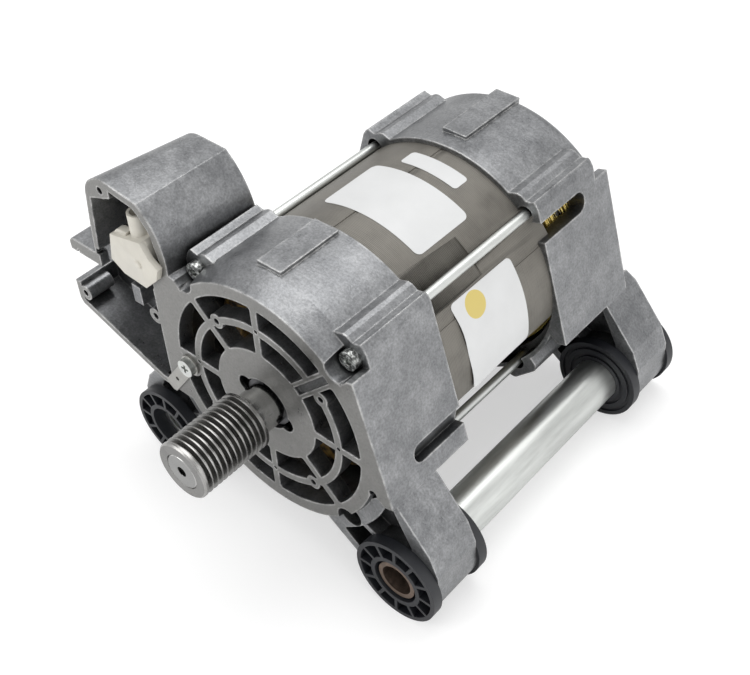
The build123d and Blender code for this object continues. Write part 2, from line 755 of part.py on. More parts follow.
with BuildPart() as rotor_cage:
    with BuildSketch(across(stack_front_y - overrun)):
        bar_shape(0)
    extrude(amount=-(stack_length + 2 * overrun))
    for start, way in ((stack_front_y, -1), (stack_back_y, 1)):
        with BuildSketch(across(start)):
            Circle(bar_outer_r)
            Circle(end_ring_inner_r, mode=Mode.SUBTRACT)
        extrude(amount=-way * end_ring_width)
        with BuildSketch(across(start + way * end_ring_width)):
            with PolarLocations((bar_inner_r + bar_outer_r) / 2, blade_count):
                Rectangle(bar_outer_r - bar_inner_r, blade_width)
        extrude(amount=-way * blade_length)
finish(rotor_cage, "rotor_cage")

# Shaft, stepped, with a threaded centre hole at the drive end
pulley_seat_r = 7.25
shoulder_r = 10.2
rotor_seat_r = rotor_bore_r - press_gap
shaft_chamfer = 0.5
centre_core_r = 2.1
centre_depth = 14.0
bearing_seat_start_y = 31.5
clip_groove_r = 7.9
clip_groove = 1.1
clip_setback = 0.6
front_shoulder_y = bearing_back_y
rear_shoulder_y = bearing_start_y
shaft_end_y = bearing_end_y + back_bearing_gap - slip_gap
clip_y = bearing_front_y - clip_setback - clip_groove

with BuildPart() as shaft:
    with BuildSketch(Plane.XY):
        with BuildLine():
            Polyline(
                (0, 0),
                (pulley_seat_r - shaft_chamfer, 0),
                (pulley_seat_r, shaft_chamfer),
                (pulley_seat_r, bearing_seat_start_y),
                (bearing_bore_r - press_gap, bearing_seat_start_y),
                (bearing_bore_r - press_gap, clip_y),
                (clip_groove_r, clip_y),
                (clip_groove_r, clip_y + clip_groove),
                (bearing_bore_r - press_gap, clip_y + clip_groove),
                (bearing_bore_r - press_gap, front_shoulder_y),
                (shoulder_r, front_shoulder_y),
                (shoulder_r, stack_front_y - end_ring_width),
                (rotor_seat_r, stack_front_y - end_ring_width),
                (rotor_seat_r, stack_back_y + end_ring_width),
                (shoulder_r, stack_back_y + end_ring_width),
                (shoulder_r, rear_shoulder_y),
                (bearing_bore_r - press_gap, rear_shoulder_y),
                (bearing_bore_r - press_gap, shaft_end_y - shaft_chamfer),
                (bearing_bore_r - press_gap - shaft_chamfer, shaft_end_y),
                (0, shaft_end_y),
                close=True,
            )
        make_face()
    revolve(axis=Axis.Y)
    with BuildSketch(Plane.XY):
        with BuildLine():
            Polyline((0, -overrun), (centre_core_r, -overrun), (centre_core_r, centre_depth),
                     (0, centre_depth + centre_core_r), close=True)
        make_face()
    revolve(axis=Axis.Y, mode=Mode.SUBTRACT)
finish(shaft, "shaft")

# Poly-V pulley
rib_pitch = 2.34
rib_count = 12
pulley_r = 11.55
rib_depth = 1.9
rib_tip = 0.5               # flat on each crest
rib_root = 0.25             # flat in each groove
front_land = 1.5
rear_land = 1.2
land_chamfer = 0.6
pulley_length = front_land + rib_count * rib_pitch + rear_land

with BuildPart() as drive_pulley:
    with BuildSketch(Plane.XY):
        points = [(pulley_seat_r + press_gap, 0), (pulley_r - land_chamfer, 0), (pulley_r, land_chamfer)]
        for index in range(rib_count):
            middle = front_land + (index + 0.5) * rib_pitch
            points += [
                (pulley_r, middle - (rib_pitch - rib_tip) / 2),
                (pulley_r - rib_depth, middle - rib_root / 2),
                (pulley_r - rib_depth, middle + rib_root / 2),
                (pulley_r, middle + (rib_pitch - rib_tip) / 2),
            ]
        points += [(pulley_r, pulley_length), (pulley_seat_r + press_gap, pulley_length)]
        with BuildLine():
            Polyline(*points, close=True)
        make_face()
    revolve(axis=Axis.Y)
finish(drive_pulley, "drive_pulley")


# Ball bearings
def ball_places(middle):
    places = [polar(ball_pitch_r, index * 360 / ball_count) for index in range(ball_count)]
    return [(x, middle, z) for x, z in places]


def make_bearing(start, name):
    middle = start + bearing_width / 2
    inner_r = bearing_bore_r + race_wall
    outer_r = bearing_outer_r - race_wall
    groove_r = ball_r + groove_gap
    races = (("inner_race", bearing_bore_r, inner_r), ("outer_race", outer_r, bearing_outer_r))
    for part_name, low, high in races:
        with BuildPart() as race:
            with BuildSketch(Plane.XY):
                ring_profile(low, high, start, start + bearing_width)
                with Locations((ball_pitch_r, middle)):
                    Circle(groove_r, mode=Mode.SUBTRACT)
            revolve(axis=Axis.Y)
        finish(race, name + "_" + part_name)
    with BuildPart() as balls:
        with Locations(ball_places(middle)):
            Sphere(ball_r)
    finish(balls, name + "_balls")
    with BuildPart() as cage:
        with BuildSketch(Plane.XY):
            ring_profile(ball_pitch_r - cage_wall / 2, ball_pitch_r + cage_wall / 2, middle - cage_width / 2,
                         middle + cage_width / 2)
        revolve(axis=Axis.Y)
        for x, y, z in ball_places(middle):
            with BuildSketch(Plane(origin=(x, y, z), z_dir=(x, 0, z))) as pocket:
                Circle(ball_r + cage_gap)
            extrude(pocket.sketch, amount=ball_r, both=True, mode=Mode.SUBTRACT)
    finish(cage, name + "_cage")
    with BuildPart() as seals:
        for seal_start in (start + shield_inset, start + bearing_width - shield_inset - shield_wall):
            with BuildSketch(across(seal_start)) as seal:
                Circle(outer_r - press_gap)
                Circle(inner_r + running_gap, mode=Mode.SUBTRACT)
            extrude(seal.sketch, amount=-shield_wall)
    finish(seals, name + "_seals")


make_bearing(bearing_front_y, "front_bearing")
make_bearing(bearing_start_y, "rear_bearing")

# Spring washer behind the rear bearing and the circlip in front of the front one
washer_inner_r = 17.4
washer_outer_r = 19.7
washer_thickness = 0.5
wave_rise = back_bearing_gap - washer_thickness
washer_end_y = bearing_end_y + wave_rise + washer_thickness
clip_outer_r = 10.2
clip_gap_angle = 28.0

with BuildPart() as wave_washer:
    with BuildSketch(Plane.XY):
        with BuildLine():
            Polyline((washer_inner_r, bearing_end_y), (washer_inner_r + washer_thickness, bearing_end_y),
                     (washer_outer_r, bearing_end_y + wave_rise), (washer_outer_r, washer_end_y),
                     (washer_outer_r - washer_thickness, washer_end_y),
                     (washer_inner_r, bearing_end_y + washer_thickness), close=True)
        make_face()
    revolve(axis=Axis.Y)
finish(wave_washer, "wave_washer")

with BuildPart() as shaft_circlip:
    with BuildSketch(across(clip_y + slip_gap / 2)):
        Circle(clip_outer_r)
        Circle(clip_groove_r + press_gap, mode=Mode.SUBTRACT)
        with BuildLine():
            Polyline((0, 0), polar(2 * clip_outer_r, 90 - clip_gap_angle / 2),
                     polar(2 * clip_outer_r, 90 + clip_gap_angle / 2), close=True)
        make_face(mode=Mode.SUBTRACT)
    extrude(amount=-(clip_groove - slip_gap))
finish(shaft_circlip, "shaft_circlip")

# Four tie rods with socket heads
with BuildPart() as tie_rods:
    with BuildSketch(across(rod_seat_y)):
        with Locations(rod_places()):
            Circle(rod_r)
    extrude(amount=-(rod_end_y - rod_seat_y))
    with BuildSketch(across(rod_seat_y)):
        with Locations(rod_places()):
            Circle(rod_head_r)
    extrude(amount=rod_head_depth)
    with BuildSketch(across(rod_seat_y - rod_head_depth)):
        with Locations(rod_places()):
            RegularPolygon(rod_socket_r, 6)
    extrude(amount=-rod_socket_depth, mode=Mode.SUBTRACT)
finish(tie_rods, "tie_rods")


# Flanged bushes, two halves in each eye
def make_bush(side, eye_start, way, outer, name):
    # way is 1 for the half that goes in from the front and -1 for the half from the rear
    seat = eye_start if way == 1 else eye_start + eye_length
    outer_face = seat - way * bush_flange
    with BuildPart() as bush:
        with BuildSketch(across(outer_face)):
            with Locations(eye_centre(side)):
                Circle(bush_flange_r)
        extrude(amount=-way * bush_flange)
        with BuildSketch(across(seat)):
            with Locations(eye_centre(side)):
                Circle(eye_bore_r - press_gap)
        extrude(amount=-way * eye_length / 2)
        with BuildSketch(across(outer_face)):
            with Locations(eye_centre(side)):
                Circle(bush_pocket_outer_r)
                if outer:
                    Circle(bush_hub_r, mode=Mode.SUBTRACT)
                    with PolarLocations((bush_pocket_outer_r + bush_hub_r) / 2, bush_pocket_count):
                        Rectangle(2 * (bush_pocket_outer_r - bush_hub_r), bush_web, mode=Mode.SUBTRACT)
                else:
                    Circle(bush_pocket_outer_r - bush_ring, mode=Mode.SUBTRACT)
                    Circle(bush_hub_r + bush_ring)
                    Circle(bush_hub_r, mode=Mode.SUBTRACT)
        extrude(amount=-way * (bush_pocket_depth if outer else bush_ring_depth), mode=Mode.SUBTRACT)
        with BuildSketch(across(outer_face - way * overrun)):
            with Locations(eye_centre(side)):
                Circle(bush_bore_r)
        extrude(amount=-way * (bush_flange + eye_length / 2 + 2 * overrun), mode=Mode.SUBTRACT)
    finish(bush, name)


for end_name, eye_start in (("front", front_eye_y), ("rear", rear_eye_y)):
    for side_name, side in (("right", 1), ("left", -1)):
        at_front = end_name == "front"
        make_bush(side, eye_start, 1, at_front, end_name + "_" + side_name + "_bush_fore")
        make_bush(side, eye_start, -1, not at_front, end_name + "_" + side_name + "_bush_aft")


# Steel tubes through the bushes
def make_tube(side, outer, bore, start, end, name):
    with BuildPart() as tube:
        with BuildSketch(across(start)):
            with Locations(eye_centre(side)):
                Circle(outer)
                Circle(bore, mode=Mode.SUBTRACT)
        extrude(amount=-(end - start))
    finish(tube, name)


make_tube(1, spacer_r, spacer_bore_r, front_bush_y + spacer_recess, rear_bush_end_y - spacer_recess,
          "right_spacer_tube")
make_tube(1, pivot_r, pivot_bore_r, front_bush_y + pivot_recess, rear_bush_end_y - pivot_recess,
          "right_pivot_tube")
make_tube(-1, spacer_r, left_tube_bore_r, front_bush_y + spacer_recess, rear_bush_end_y - spacer_recess,
          "left_spacer_tube")


# Blank labels on the stack
label_thickness = 0.15
label_shares = [
    # name, angles from the top toward the right, ends as shares of the stack that shows
    ("upper_label", -22.0, 30.0, 0.216, 0.680),
    ("small_label", -12.0, 17.5, 0.760, 0.888),
    ("side_label", 52.5, 97.0, 0.184, 0.744),
]
for label_name, left_angle, right_angle, start_share, end_share in label_shares:
    middle_angle = (left_angle + right_angle) / 2
    with BuildPart() as label:
        with BuildSketch(across(front_rim_y + start_share * bare_stack)):
            Polygon((0, 0), polar(2 * stack_r, 90 - left_angle), polar(2 * stack_r, 90 - middle_angle),
                    polar(2 * stack_r, 90 - right_angle))
            Circle(stack_r + label_thickness, mode=Mode.INTERSECT)
            Circle(stack_r, mode=Mode.SUBTRACT)
        extrude(amount=-(end_share - start_share) * bare_stack)
    finish(label, label_name)

# Earth blade and its screw
blade_wall = 0.8
blade_width = 6.3
blade_eye_r = 4.4
blade_reach = 25.0
blade_angle = 233.5
blade_hole_r = 0.9
blade_hole_reach = 16.3
blade_tip = 1.2
earth_head_r = 3.8
earth_head_depth = 2.5
earth_recess_r = 1.9
earth_recess_depth = 1.4
earth_slot = 1.1

with BuildPart() as earth_tab:
    with BuildSketch(across(face_y - blade_wall)):
        with Locations((earth_x, earth_z)):
            Circle(blade_eye_r)
        with Locations(Location((earth_x, earth_z), blade_angle)):
            Polygon((0, -blade_width / 2), (blade_reach - blade_tip, -blade_width / 2),
                    (blade_reach, blade_tip - blade_width / 2), (blade_reach, blade_width / 2 - blade_tip),
                    (blade_reach - blade_tip, blade_width / 2), (0, blade_width / 2))
        with Locations((earth_x, earth_z)):
            Circle(earth_screw_r + slip_gap, mode=Mode.SUBTRACT)
        with Locations(polar(blade_hole_reach, blade_angle, (earth_x, earth_z))):
            Circle(blade_hole_r, mode=Mode.SUBTRACT)
    extrude(amount=-blade_wall)
finish(earth_tab, "earth_tab")

with BuildPart() as earth_screw:
    with BuildSketch(across(face_y - blade_wall)):
        with Locations((earth_x, earth_z)):
            Circle(earth_head_r)
    extrude(amount=earth_head_depth)
    with BuildSketch(across(face_y - blade_wall)):
        with Locations((earth_x, earth_z)):
            Circle(earth_thread_r - press_gap)
    extrude(amount=-(earth_hole_depth - overrun))
    with BuildSketch(across(face_y - blade_wall - earth_head_depth)):
        with Locations((earth_x, earth_z)):
            Rectangle(2 * earth_recess_r, earth_slot)
            Rectangle(earth_slot, 2 * earth_recess_r)
    extrude(amount=-earth_recess_depth, mode=Mode.SUBTRACT)
finish(earth_screw, "earth_screw")

# Nylon connector in the terminal box, with its receptacles
flange_wall = 2.4           # flange in front of the casting's face
connector_depth = 12.0
flange_shares = [
    (-0.612, 0.545), (-0.640, 0.530), (-0.706, 0.451), (-0.733, 0.321), (-0.670, 0.281), (-0.550, 0.271),
    (-0.478, 0.342), (-0.459, 0.399), (-0.500, 0.427), (-0.545, 0.500), (-0.560, 0.530),
]
connector_shares = [
    (-0.620, 0.530), (-0.700, 0.447), (-0.725, 0.325), (-0.665, 0.276), (-0.560, 0.276), (-0.556, 0.345),
    (-0.505, 0.400), (-0.525, 0.470), (-0.555, 0.520),
]
tube_x_share = -0.596
tube_low_share = 0.450
tube_top_share = 0.565
tube_setback = 3.4          # tube's axis behind the face
tube_outer_r = 3.6
tube_inner_r = 2.5
terminal_shares = [-0.690, -0.645, -0.600, -0.555]
connector_hole = 3.4
connector_hole_share = 0.38     # how high the holes in its underside reach
receptacle_r = 1.3
receptacle_length = 9.0
receptacle_y = face_y + connector_depth / 2
receptacle_top = connector_hole_share * box_scale

with BuildPart() as connector_housing:
    with BuildSketch(across(face_y)):
        Polygon(*box_points(flange_shares))
    extrude(amount=flange_wall)
    with BuildSketch(across(face_y)):
        Polygon(*box_points(connector_shares))
    extrude(amount=-connector_depth)
    with BuildSketch(Plane.XY.offset(tube_low_share * box_scale)):
        with Locations((tube_x_share * box_scale, face_y + tube_setback)):
            Circle(tube_outer_r)
    extrude(amount=(tube_top_share - tube_low_share) * box_scale)
    with BuildSketch(Plane.XY.offset(tube_low_share * box_scale)):
        with Locations((tube_x_share * box_scale, face_y + tube_setback)):
            Circle(tube_inner_r)
    extrude(amount=(tube_top_share - tube_low_share) * box_scale + overrun, mode=Mode.SUBTRACT)
    with BuildSketch(Plane.XY.offset(receptacle_top)):
        with Locations([(x * box_scale, receptacle_y) for x in terminal_shares]):
            Rectangle(connector_hole, connector_hole)
    extrude(amount=-connector_depth, mode=Mode.SUBTRACT)
finish(connector_housing, "connector_housing")

with BuildPart() as connector_terminals:
    with BuildSketch(Plane.XY.offset(receptacle_top)):
        with Locations([(x * box_scale, receptacle_y) for x in terminal_shares]):
            Circle(receptacle_r)
    extrude(amount=-receptacle_length)
finish(connector_terminals, "connector_terminals")
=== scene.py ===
import bpy
import json
import math
from mathutils import Matrix, Vector


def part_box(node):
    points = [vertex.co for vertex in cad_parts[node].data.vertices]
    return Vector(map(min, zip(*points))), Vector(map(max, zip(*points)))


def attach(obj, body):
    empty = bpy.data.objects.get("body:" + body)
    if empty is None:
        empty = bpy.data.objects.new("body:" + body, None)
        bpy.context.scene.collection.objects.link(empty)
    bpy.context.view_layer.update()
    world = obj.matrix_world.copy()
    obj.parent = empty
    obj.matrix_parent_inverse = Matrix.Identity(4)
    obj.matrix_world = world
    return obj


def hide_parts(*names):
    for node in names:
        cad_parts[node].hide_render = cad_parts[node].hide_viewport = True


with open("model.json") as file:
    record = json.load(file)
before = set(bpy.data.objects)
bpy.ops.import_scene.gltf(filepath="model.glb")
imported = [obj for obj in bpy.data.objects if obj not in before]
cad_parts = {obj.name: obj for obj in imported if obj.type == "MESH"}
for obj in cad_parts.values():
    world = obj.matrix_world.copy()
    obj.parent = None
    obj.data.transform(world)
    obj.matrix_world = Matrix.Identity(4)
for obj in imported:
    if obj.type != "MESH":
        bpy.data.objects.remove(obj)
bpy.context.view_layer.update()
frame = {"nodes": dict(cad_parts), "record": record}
nodes = frame["nodes"]
print("frame loaded:", len(nodes), "nodes")

mm = 0.001


# shader nodes

noiseSpan = (0.3, 0.7)  # nearly all values of a noise lie in it
frontLimit = -0.9  # a face looks towards the drive end when its normal's Y is under this
maskSamples = {"bevel": 4, "recess": 6}


def newMaterial(name):
    material = bpy.data.materials.new(name)
    material.use_nodes = True
    tree = material.node_tree
    return material, tree, tree.nodes["Principled BSDF"]


def addNode(tree, kind, **settings):
    node = tree.nodes.new(kind)
    for key, value in settings.items():
        setattr(node, key, value)
    return node


def objectCoords(tree, scale=(1, 1, 1)):
    coords = addNode(tree, "ShaderNodeTexCoord")
    mapping = addNode(tree, "ShaderNodeMapping")
    mapping.inputs["Scale"].default_value = scale
    tree.links.new(coords.outputs["Object"], mapping.inputs["Vector"])
    return mapping.outputs["Vector"]


def noise(tree, vector, marks):
    # marks are a scale, a detail and a roughness
    node = addNode(tree, "ShaderNodeTexNoise")
    for socket, value in zip(("Scale", "Detail", "Roughness"), marks):
        node.inputs[socket].default_value = value
    tree.links.new(vector, node.inputs["Vector"])
    return node.outputs["Fac"]


def ramp(tree, factor, stops):
    node = addNode(tree, "ShaderNodeValToRGB")
    elements = node.color_ramp.elements
    while len(elements) < len(stops):
        elements.new(0.5)
    for element, (position, value) in zip(elements, stops):
        element.position = position
        element.color = (value, value, value, 1) if isinstance(value, (int, float)) else (*value, 1)
    tree.links.new(factor, node.inputs["Fac"])
    return node.outputs["Color"]


def spread(tree, marks, low, high):
    # runs from low to high as the noise does
    return ramp(tree, marks, [(noiseSpan[0], low), (noiseSpan[1], high)])


def feed(tree, socket, value):
    # a value is another socket, a colour or a number
    if isinstance(value, bpy.types.NodeSocket):
        tree.links.new(value, socket)
    elif isinstance(value, tuple):
        socket.default_value = (*value, 1)
    else:
        socket.default_value = value


def mixColors(tree, factor, first, second, blend="MIX"):
    node = addNode(tree, "ShaderNodeMix", data_type="RGBA", blend_type=blend)
    feed(tree, node.inputs["Factor"], factor)
    feed(tree, node.inputs["A"], first)
    feed(tree, node.inputs["B"], second)
    return node.outputs["Result"]


def tint(tree, base, tone, amount=1.0):
    return mixColors(tree, amount, base, tone, "MULTIPLY")


def math2(tree, operation, first, second=0.0):
    node = addNode(tree, "ShaderNodeMath", operation=operation)
    feed(tree, node.inputs[0], first)
    feed(tree, node.inputs[1], second)
    return node.outputs["Value"]


def weigh(tree, first, second, share):
    first = math2(tree, "MULTIPLY", first, share)
    return math2(tree, "ADD", first, math2(tree, "MULTIPLY", second, 1 - share))


def split(tree, vector):
    node = addNode(tree, "ShaderNodeSeparateXYZ")
    tree.links.new(vector, node.inputs["Vector"])
    return node.outputs


def roundedNormal(tree, radius):
    bevel = addNode(tree, "ShaderNodeBevel", samples=maskSamples["bevel"])
    bevel.inputs["Radius"].default_value = radius
    return bevel.outputs["Normal"]


def edgeMask(tree, radius, stops):
    # bright where two faces meet: the rounded normal leaves the true one
    geometry = addNode(tree, "ShaderNodeNewGeometry")
    dot = addNode(tree, "ShaderNodeVectorMath", operation="DOT_PRODUCT")
    tree.links.new(roundedNormal(tree, radius), dot.inputs[0])
    tree.links.new(geometry.outputs["Normal"], dot.inputs[1])
    return ramp(tree, math2(tree, "SUBTRACT", 1.0, dot.outputs["Value"]), stops)


def recessMask(tree, reach, stops):
    # painted shade: dark deep in a recess
    occlusion = addNode(tree, "ShaderNodeAmbientOcclusion", samples=maskSamples["recess"])
    occlusion.inputs["Distance"].default_value = reach
    return ramp(tree, occlusion.outputs["AO"], stops)


def facesFront(tree):
    # 1 on faces that look towards the drive end
    geometry = addNode(tree, "ShaderNodeNewGeometry")
    return math2(tree, "LESS_THAN", split(tree, geometry.outputs["Normal"])["Y"], frontLimit)


def bump(tree, shader, height, strength, distance, radius=0.0):
    node = addNode(tree, "ShaderNodeBump")
    node.inputs["Strength"].default_value = strength
    node.inputs["Distance"].default_value = distance
    tree.links.new(height, node.inputs["Height"])
    if radius:
        tree.links.new(roundedNormal(tree, radius), node.inputs["Normal"])
    tree.links.new(node.outputs["Normal"], shader.inputs["Normal"])


def finishShader(tree, shader, base, metallic, roughness, marks=None):
    # roughness is one number, or a pair that the marks run between
    tree.links.new(base, shader.inputs["Base Color"])
    shader.inputs["Metallic"].default_value = metallic
    if marks is None:
        shader.inputs["Roughness"].default_value = roughness
    else:
        tree.links.new(spread(tree, marks, *roughness), shader.inputs["Roughness"])


# materials: a noise is a scale, a detail and a roughness, and a ramp is its stops

castLook = {
    "clouds": (42, 5, 0.65), "mottle": (210, 4, 0.7), "grain": (1100, 3, 0.65), "cloudShare": 0.65,
    "tones": [(0.34, (0.155, 0.159, 0.165)), (0.50, (0.221, 0.225, 0.231)), (0.66, (0.314, 0.318, 0.325))],
    "speckle": [(0.36, 0.72), (0.64, 1.2)], "speckled": 0.7,
    "face": (0.205, 0.203, 0.196), "faceY": 41.06, "facePatches": (0.6, 1.3), "facePatched": 0.35,
    "faceSpeckled": 0.4,
    # the edge colour is partly wear and partly a painted highlight along rounded edges
    "wearAndHighlight": (0.66, 0.66, 0.65), "edge": 1.5, "edgeStops": [(0.02, 0.0), (0.25, 1.0)],
    "rubAndSheen": [(0.38, 0.15), (0.60, 1.0)],
    # the recess stops paint shade into the hollows
    "recess": 14.0, "paintedShade": [(0.15, 0.10), (0.50, 0.62), (0.80, 1.0)],
    "metallic": 0.8, "roughness": (0.26, 0.44), "mottleShare": 0.7, "strength": 0.4, "skin": 0.5,
    "round": 0.6,
}


def makeCast():
    material, tree, shader = newMaterial("castAluminium")
    coords = objectCoords(tree)
    clouds = noise(tree, coords, castLook["clouds"])
    mottle = noise(tree, coords, castLook["mottle"])
    grain = noise(tree, coords, castLook["grain"])
    base = ramp(tree, weigh(tree, clouds, mottle, castLook["cloudShare"]), castLook["tones"])
    speckle = ramp(tree, grain, castLook["speckle"])
    base = tint(tree, base, speckle, castLook["speckled"])
    # the machined front face is even and matt
    onFace = math2(tree, "LESS_THAN", split(tree, coords)["Y"], castLook["faceY"] * mm)
    machined = math2(tree, "MULTIPLY", onFace, facesFront(tree))
    facePatches = spread(tree, mottle, *castLook["facePatches"])
    face = tint(tree, castLook["face"], facePatches, castLook["facePatched"])
    base = mixColors(tree, machined, base, tint(tree, face, speckle, castLook["faceSpeckled"]))
    # rubbed bright along the edges, partly real wear and partly a painted highlight
    edges = edgeMask(tree, castLook["edge"] * mm, castLook["edgeStops"])
    wearAndHighlight = math2(tree, "MULTIPLY", edges, ramp(tree, mottle, castLook["rubAndSheen"]))
    base = mixColors(tree, wearAndHighlight, base, castLook["wearAndHighlight"])
    # painted shade darkens the colour deep in the recesses
    base = tint(tree, base, recessMask(tree, castLook["recess"] * mm, castLook["paintedShade"]))
    finishShader(tree, shader, base, castLook["metallic"], castLook["roughness"], mottle)
    skin = weigh(tree, mottle, grain, castLook["mottleShare"])
    bump(tree, shader, skin, castLook["strength"], castLook["skin"] * mm, castLook["round"] * mm)
    return material


stackLook = {
    "tones": [(0.25, (0.058, 0.054, 0.046)), (0.75, (0.175, 0.165, 0.145))],
    "sheet": 0.65, "wobble": (60, 3, 0.6), "wobbleStretch": (1, 14, 1), "wobbleTurn": 5.0,
    "patches": (70, 3, 0.6), "lineShare": 0.35,
    "metallic": 0.45, "roughness": (0.36, 0.50), "strength": 0.45, "depth": 0.15,
}


def makeLaminations():
    material, tree, shader = newMaterial("laminations")
    coords = objectCoords(tree)
    phase = math2(tree, "MULTIPLY", split(tree, coords)["Y"], 2 * math.pi / (stackLook["sheet"] * mm))
    wobble = noise(tree, objectCoords(tree, stackLook["wobbleStretch"]), stackLook["wobble"])
    wobble = math2(tree, "MULTIPLY", wobble, stackLook["wobbleTurn"])
    wave = math2(tree, "SINE", math2(tree, "ADD", phase, wobble))
    # the wave brought between 0 and 1
    lines = math2(tree, "ADD", math2(tree, "MULTIPLY", wave, 0.5), 0.5)
    patches = noise(tree, coords, stackLook["patches"])
    tone = math2(tree, "ADD", math2(tree, "MULTIPLY", lines, stackLook["lineShare"]), patches)
    base = ramp(tree, tone, stackLook["tones"])
    finishShader(tree, shader, base, stackLook["metallic"], stackLook["roughness"], patches)
    bump(tree, shader, lines, stackLook["strength"], stackLook["depth"] * mm)
    return material


# metals: streaks stretches the marks along an axis, the front tone is painted shade that darkens the faces
# turned towards the drive end, and the head tone is painted shade, in patches, on what stands in front of
# headY
plainMetal = {"streaks": (1, 1, 1), "scale": 300, "detail": 4, "grit": 0.6, "tones": (0.35, 1.3),
              "variation": 0.25, "strength": 0.12, "depth": 0.08, "round": 0.25,
              "frontShade": None, "headY": None}
metals = {
    "zincPlate": {"color": (0.64, 0.655, 0.635), "roughness": (0.30, 0.44), "streaks": (1, 0.10, 1),
                  "scale": 260, "variation": 0.3},
    "turnedSteel": {"color": (0.50, 0.50, 0.49), "roughness": (0.13, 0.22), "streaks": (1, 9, 1),
                    "scale": 90, "variation": 0.15, "frontShade": 0.5},
    "pulleySteel": {"color": (0.37, 0.365, 0.355), "roughness": (0.22, 0.36), "streaks": (1, 9, 1),
                    "scale": 90, "variation": 0.4, "frontShade": 0.55},
    "dullZinc": {"color": (0.40, 0.395, 0.375), "roughness": (0.32, 0.46), "variation": 0.3},
    "bearingSteel": {"color": (0.22, 0.22, 0.23), "roughness": (0.2, 0.3), "streaks": (1, 9, 1),
                     "scale": 90, "variation": 0.15},
    "pressedSteel": {"color": (0.10, 0.10, 0.105), "roughness": (0.34, 0.46)},
    "sinteredSleeve": {"color": (0.20, 0.15, 0.12), "roughness": (0.4, 0.6), "scale": 600,
                       "variation": 0.5, "strength": 0.52},
    "cageAluminium": {"color": (0.62, 0.63, 0.65), "roughness": (0.35, 0.5)},
    "terminalBrass": {"color": (0.70, 0.52, 0.24), "roughness": (0.25, 0.35)},
}
# the rod heads are darkened in patches: painted shade of the pockets they sit sunk in
metals["rodZinc"] = {**metals["zincPlate"], "headY": 60, "headMarks": (900, 2, 0.5),
                     "headShade": [(0.45, 0.30), (0.62, 1.4)]}


def makeMetal(name):
    look = {**plainMetal, **metals[name]}
    material, tree, shader = newMaterial(name)
    marks = noise(tree, objectCoords(tree, look["streaks"]), (look["scale"], look["detail"], look["grit"]))
    base = tint(tree, look["color"], spread(tree, marks, *look["tones"]), look["variation"])
    # painted shade: the faces turned towards the drive end are darkened
    if look["frontShade"]:
        frontShaded = tint(tree, base, (look["frontShade"],) * 3)
        base = mixColors(tree, facesFront(tree), base, frontShaded)
    # painted shade, in patches, on the rod heads in front of headY
    if look["headY"]:
        coords = objectCoords(tree)
        atHead = math2(tree, "LESS_THAN", split(tree, coords)["Y"], look["headY"] * mm)
        paintedShade = ramp(tree, noise(tree, coords, look["headMarks"]), look["headShade"])
        base = mixColors(tree, atHead, base, tint(tree, base, paintedShade))
    finishShader(tree, shader, base, 1.0, look["roughness"], marks)
    bump(tree, shader, marks, look["strength"], look["depth"] * mm, look["round"] * mm)
    return material


plainPlastic = {"grain": (700, 3, 0.6), "patches": (60, 3, 0.6), "tones": (0.7, 1.25), "variation": 0.35,
                "strength": 0.15, "depth": 0.1, "round": 0.3}
plastics = {
    "bushPlastic": {"color": (0.007, 0.008, 0.011), "roughness": (0.42, 0.54)},
    "sealRubber": {"color": (0.02, 0.02, 0.022), "roughness": (0.5, 0.65)},
    "whiteNylon": {"color": (0.60, 0.575, 0.51), "roughness": (0.36, 0.48)},
}


def makePlastic(name):
    look = {**plainPlastic, **plastics[name]}
    material, tree, shader = newMaterial(name)
    coords = objectCoords(tree)
    grain = noise(tree, coords, look["grain"])
    patches = noise(tree, coords, look["patches"])
    base = tint(tree, look["color"], spread(tree, patches, *look["tones"]), look["variation"])
    finishShader(tree, shader, base, 0.0, look["roughness"], patches)
    bump(tree, shader, grain, look["strength"], look["depth"] * mm, look["round"] * mm)
    return material


# the dot's angle goes from the top to the right
labelLook = {"paper": (0.60, 0.605, 0.605), "patches": (90, 3, 0.5), "tones": (0.85, 1.05),
             "variation": 0.3, "roughness": 0.38, "strength": 0.08, "depth": 0.2,
             "dot": (0.56, 0.45, 0.14), "dotAngle": 59, "dotR": 51.6, "dotY": 106, "dotRadius": 5.2}


def makeLabel():
    material, tree, shader = newMaterial("blankLabel")
    coords = objectCoords(tree)
    patches = noise(tree, coords, labelLook["patches"])
    shade = spread(tree, patches, *labelLook["tones"])
    paper = tint(tree, labelLook["paper"], shade, labelLook["variation"])
    turn = math.radians(labelLook["dotAngle"])
    distance = addNode(tree, "ShaderNodeVectorMath", operation="DISTANCE")
    tree.links.new(coords, distance.inputs[0])
    distance.inputs[1].default_value = (labelLook["dotR"] * math.sin(turn) * mm, labelLook["dotY"] * mm,
                                        labelLook["dotR"] * math.cos(turn) * mm)
    inDot = math2(tree, "LESS_THAN", distance.outputs["Value"], labelLook["dotRadius"] * mm)
    finishShader(tree, shader, mixColors(tree, inDot, paper, labelLook["dot"]), 0.0, labelLook["roughness"])
    bump(tree, shader, patches, labelLook["strength"], labelLook["depth"] * mm)
    return material


# the winding is coloured far darker than the rear end turns: painted shade inside the motor, seen through
# the front windows
shadedWindingLook = {"strands": (260, 2, 0.5), "stretch": (1, 3.0, 1),
               "tones": [(0.38, (0.012, 0.010, 0.008)), (0.52, (0.13, 0.075, 0.018)),
                         (0.68, (0.30, 0.19, 0.04))],
               "metallic": 0.4, "roughness": 0.35, "strength": 0.6, "depth": 0.6}


def makeShadedWinding():
    material, tree, shader = newMaterial("shadedWindingWire")
    strands = noise(tree, objectCoords(tree, shadedWindingLook["stretch"]), shadedWindingLook["strands"])
    base = ramp(tree, strands, shadedWindingLook["tones"])
    finishShader(tree, shader, base, shadedWindingLook["metallic"], shadedWindingLook["roughness"])
    bump(tree, shader, strands, shadedWindingLook["strength"], shadedWindingLook["depth"] * mm)
    return material


